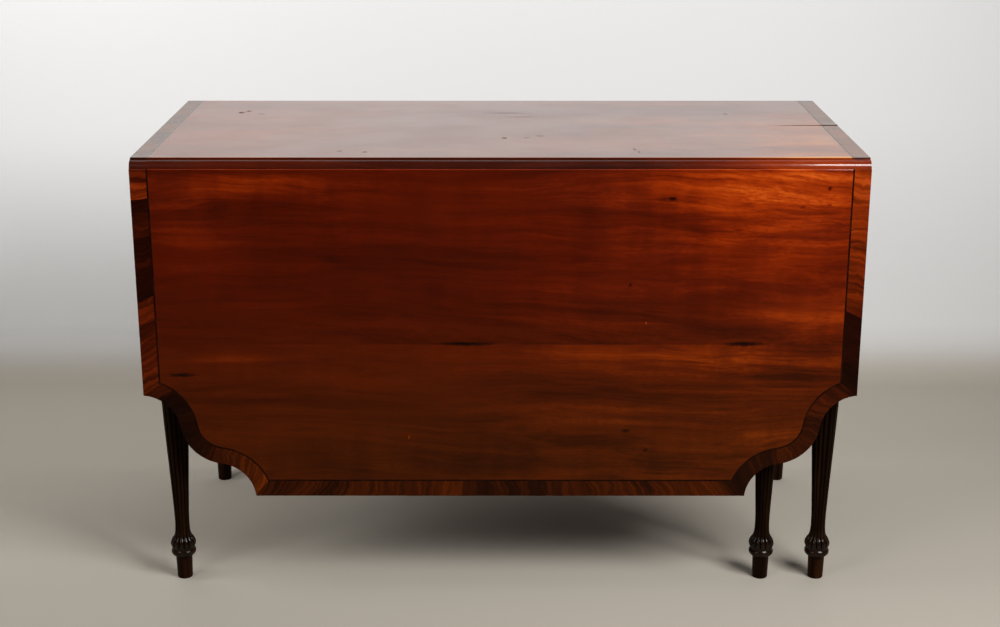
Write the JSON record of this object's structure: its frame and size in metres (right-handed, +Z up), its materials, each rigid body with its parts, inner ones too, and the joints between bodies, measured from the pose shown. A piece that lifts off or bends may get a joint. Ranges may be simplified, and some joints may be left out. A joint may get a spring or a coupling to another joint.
{
  "type": "drop-leaf table",
  "caption": "Drop-leaf table with a rule-jointed top, deep leaves with shaped corners, dark cross-banding, reeded turned legs and swing legs on wooden knuckle joints.",
  "frame": {"origin": "on the floor under the middle of the fixed top", "axes": "+Z up, +X along the length of the top and the hinge lines, +Y from the front leaf to the rear leaf"},
  "size_m": [1.146, 0.538, 0.73],
  "materials": {
    "top_mahogany": "figured mahogany under an old gloss polish",
    "crossband_rosewood": "dark cross-grained veneer, polished",
    "leg_mahogany": "dark turned mahogany with old wax in the hollows",
    "apron_mahogany": "polished mahogany",
    "rail_birch": "oiled birch, darkened",
    "secondary_wood": "bare pine, darkened with age",
    "hinge_iron": "blackened iron",
    "pin_steel": "bare steel, dulled"
  },
  "bodies": {
    "frame": {"top_board": "top_mahogany", "top_crossbands": "crossband_rosewood", "leg_front_left": "leg_mahogany", "leg_front_right": "leg_mahogany", "leg_rear_left": "leg_mahogany", "leg_rear_right": "leg_mahogany", "end_apron_left": "apron_mahogany", "end_apron_right": "apron_mahogany", "inner_rail_front": "secondary_wood", "inner_rail_rear": "secondary_wood", "knuckle_rail_front": "rail_birch", "knuckle_rail_rear": "rail_birch", "knuckle_pin_front": "pin_steel", "knuckle_pin_rear": "pin_steel", "cross_brace_left": "secondary_wood", "cross_brace_right": "secondary_wood", "glue_blocks": "secondary_wood", "hinge_top_plates_front": "hinge_iron", "hinge_top_plates_rear": "hinge_iron", "hinge_pins_front": "pin_steel", "hinge_pins_rear": "pin_steel"},
    "front_leaf": {"leaf_board_front": "top_mahogany", "leaf_crossbands_front": "crossband_rosewood", "hinge_leaf_plates_front": "hinge_iron"},
    "rear_leaf": {"leaf_board_rear": "top_mahogany", "leaf_crossbands_rear": "crossband_rosewood", "hinge_leaf_plates_rear": "hinge_iron"},
    "front_swing_leg": {"swing_leg_front": "leg_mahogany", "fly_rail_front": "rail_birch"},
    "rear_swing_leg": {"swing_leg_rear": "leg_mahogany", "fly_rail_rear": "rail_birch"}
  },
  "joints": [
    {"name": "front_leaf_hinge", "type": "hinge", "parent": "frame", "child": "front_leaf", "pos_m": [0, -0.254, 0.715], "axis": [-1, 0, 0], "range_deg": [0, 90]},
    {"name": "rear_leaf_hinge", "type": "hinge", "parent": "frame", "child": "rear_leaf", "pos_m": [0, 0.254, 0.715], "axis": [1, 0, 0], "range_deg": [0, 90]},
    {"name": "front_leg_knuckle", "type": "hinge", "parent": "frame", "child": "front_swing_leg", "pos_m": [0.04, -0.221, 0.6535], "axis": [0, 0, -1], "range_deg": [0, 1.5]},
    {"name": "rear_leg_knuckle", "type": "hinge", "parent": "frame", "child": "rear_swing_leg", "pos_m": [-0.04, 0.221, 0.6535], "axis": [0, 0, -1], "range_deg": [0, 1.5]}
  ]
}
